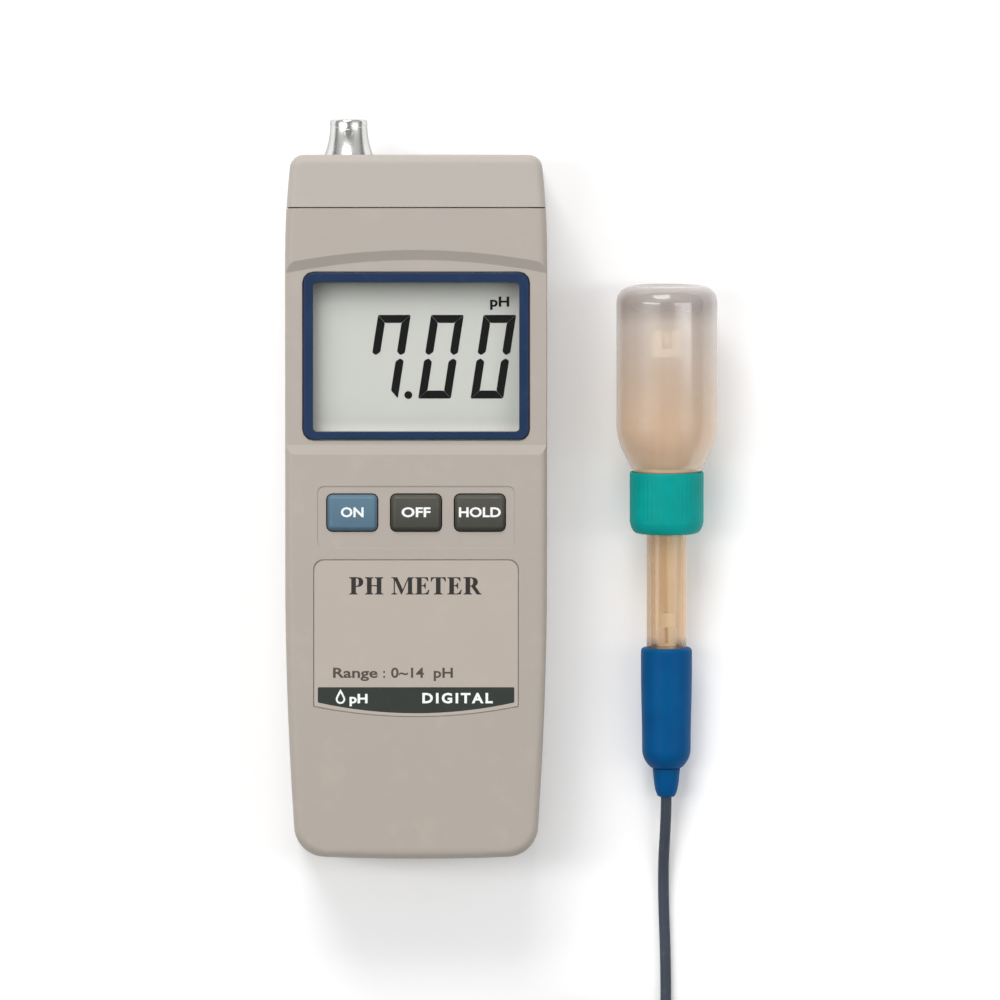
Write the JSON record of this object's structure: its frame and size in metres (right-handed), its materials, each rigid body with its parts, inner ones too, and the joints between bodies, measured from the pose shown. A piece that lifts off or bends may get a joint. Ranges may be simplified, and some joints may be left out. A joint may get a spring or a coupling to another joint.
{
  "type": "ph meter",
  "caption": "Handheld pH meter with display, keys, coaxial probe socket, and a cabled electrode kept in its screw-capped storage bottle.",
  "frame": {"origin": "middle of the flat back face of the meter case, which lies on the table", "axes": "+X to the right of the meter, where the electrode lies; +Y towards the probe socket; +Z out of the display"},
  "size_m": [0.1177, 0.2857, 0.0329],
  "materials": {
    "case_beige": "lightly grained beige moulded ABS",
    "end_cap_beige": "lightly grained pale beige moulded ABS",
    "bezel_blue": "semi-gloss dark blue moulded plastic",
    "clear_lens": "clear polished acrylic",
    "lcd_grey": "pale grey reflective display glass",
    "black_plastic": "black moulded plastic",
    "board_green": "green solder mask on glass-fibre laminate",
    "key_blue": "blue-grey moulded key",
    "key_grey": "dark grey moulded key",
    "mat_rubber": "translucent silicone rubber",
    "label_film": "printed satin polycarbonate film",
    "battery_case": "printed steel battery jacket",
    "wire_red": "red PVC insulation",
    "wire_black": "black PVC insulation",
    "nickel": "bright nickel plating on brass",
    "zinc_steel": "zinc plated steel",
    "contact_brass": "gold flashed brass",
    "white_insulator": "white fluoropolymer",
    "trimmer_blue": "blue moulded plastic",
    "barrel_amber": "translucent amber polyetherimide",
    "guard_plastic": "peach translucent plastic",
    "clear_glass": "clear pH glass",
    "stem_ceramic": "pale potting plug",
    "wire_metal": "silver wire, dark with chloride",
    "seal_rubber": "dark grey rubber",
    "handle_blue": "satin blue moulded plastic",
    "cap_teal": "satin teal polypropylene",
    "bottle_frosted": "frosted translucent polyethylene",
    "soaking_liquid": "clear salt solution",
    "cable_pvc": "dark blue-grey soft PVC"
  },
  "bodies": {
    "meter": {"front_shell": "case_beige", "back_shell": "case_beige", "end_cap": "end_cap_beige", "case_screw_1": "zinc_steel", "case_screw_2": "zinc_steel", "case_screw_3": "zinc_steel", "case_screw_4": "zinc_steel", "display_bezel": "bezel_blue", "display_lens": "clear_lens", "lcd_glass": "lcd_grey", "lcd_holder": "black_plastic", "contact_strip_upper": "black_plastic", "contact_strip_lower": "black_plastic", "circuit_board": "board_green", "meter_chip": "black_plastic", "input_amplifier": "black_plastic", "key_dome_on": "mat_rubber", "key_dome_off": "mat_rubber", "key_dome_hold": "mat_rubber", "keypad_mat": "mat_rubber", "front_label": "label_film", "battery": "battery_case", "battery_snap": "black_plastic", "battery_wire_red": "wire_red", "battery_wire_black": "wire_black", "probe_jack_shell": "nickel", "probe_jack_insulator": "white_insulator", "probe_jack_contact": "contact_brass", "probe_jack_washer": "zinc_steel", "probe_jack_nut": "nickel", "probe_jack_lead": "white_insulator", "trimmer_body_offset": "trimmer_blue", "trimmer_body_slope": "trimmer_blue"},
    "on_key": {"key_on": "key_blue"},
    "off_key": {"key_off": "key_grey"},
    "hold_key": {"key_hold": "key_grey"},
    "offset_trimmer": {"trimmer_screw_offset": "contact_brass"},
    "slope_trimmer": {"trimmer_screw_slope": "contact_brass"},
    "battery_door": {"battery_cover": "case_beige"},
    "electrode": {"electrode_barrel": "barrel_amber", "tip_guard": "guard_plastic", "glass_stem": "clear_glass", "stem_plug": "stem_ceramic", "inner_wire": "wire_metal", "wire_collar": "stem_ceramic", "barrel_seal": "seal_rubber", "handle": "handle_blue", "strain_relief": "handle_blue", "probe_cable": "cable_pvc", "probe_cable_coil": "cable_pvc", "probe_cable_tail": "cable_pvc", "plug_boot": "black_plastic", "plug_body": "nickel", "plug_insulator": "white_insulator", "plug_pin": "contact_brass"},
    "bottle_closure": {"bottle_cap": "cap_teal", "cap_seal": "seal_rubber"},
    "soaking_liquid": {"storage_solution": "soaking_liquid"},
    "bottle": {"storage_bottle": "bottle_frosted"},
    "coupling_sleeve": {"plug_collar": "nickel"}
  },
  "joints": [
    {"name": "on_key_press", "type": "slide", "parent": "meter", "child": "on_key", "axis": [0, 0, -1], "range_m": [0, 0.0009], "stiffness_N_per_m": 900, "springref_m": -0.0006, "deforming": ["key_dome_on"]},
    {"name": "off_key_press", "type": "slide", "parent": "meter", "child": "off_key", "axis": [0, 0, -1], "range_m": [0, 0.0009], "stiffness_N_per_m": 900, "springref_m": -0.0006, "deforming": ["key_dome_off"]},
    {"name": "hold_key_press", "type": "slide", "parent": "meter", "child": "hold_key", "axis": [0, 0, -1], "range_m": [0, 0.0009], "stiffness_N_per_m": 900, "springref_m": -0.0006, "deforming": ["key_dome_hold"]},
    {"name": "offset_trimmer_turn", "type": "hinge", "parent": "meter", "child": "offset_trimmer", "pos_m": [0.032, 0.044, 0.0138], "axis": [1, 0, 0], "range_deg": [-135, 135]},
    {"name": "slope_trimmer_turn", "type": "hinge", "parent": "meter", "child": "slope_trimmer", "pos_m": [0.032, 0.03, 0.0138], "axis": [1, 0, 0], "range_deg": [-135, 135]},
    {"name": "battery_door_slide", "type": "slide", "parent": "meter", "child": "battery_door", "axis": [0, -1, 0], "range_m": [0, 0.07]},
    {"name": "electrode_lift", "type": "slide", "parent": "meter", "child": "electrode", "axis": [0, 0, 1], "range_m": [0, 0.1]},
    {"name": "closure_pull", "type": "slide", "parent": "electrode", "child": "bottle_closure", "axis": [0, 0.9965, 0.0834], "range_m": [0, 0.062]},
    {"name": "bottle_advance", "type": "slide", "parent": "bottle_closure", "child": "soaking_liquid", "axis": [0, 0.9965, 0.0834], "range_m": [0, 0.0065]},
    {"name": "bottle_unscrew", "type": "hinge", "parent": "soaking_liquid", "child": "bottle", "pos_m": [0.0643, 0.0299, 0.01407], "axis": [0, 0.9965, 0.0834], "range_deg": [0, 720]},
    {"name": "plug_sleeve_turn", "type": "hinge", "parent": "electrode", "child": "coupling_sleeve", "pos_m": [0.077, -0.18, 0.00725], "axis": [0, 1, 0], "range_deg": [0, 90]}
  ],
  "couplings": [
    {"joint": "bottle_advance", "follows": "bottle_unscrew", "m_per_rad": 0.00047746}
  ]
}
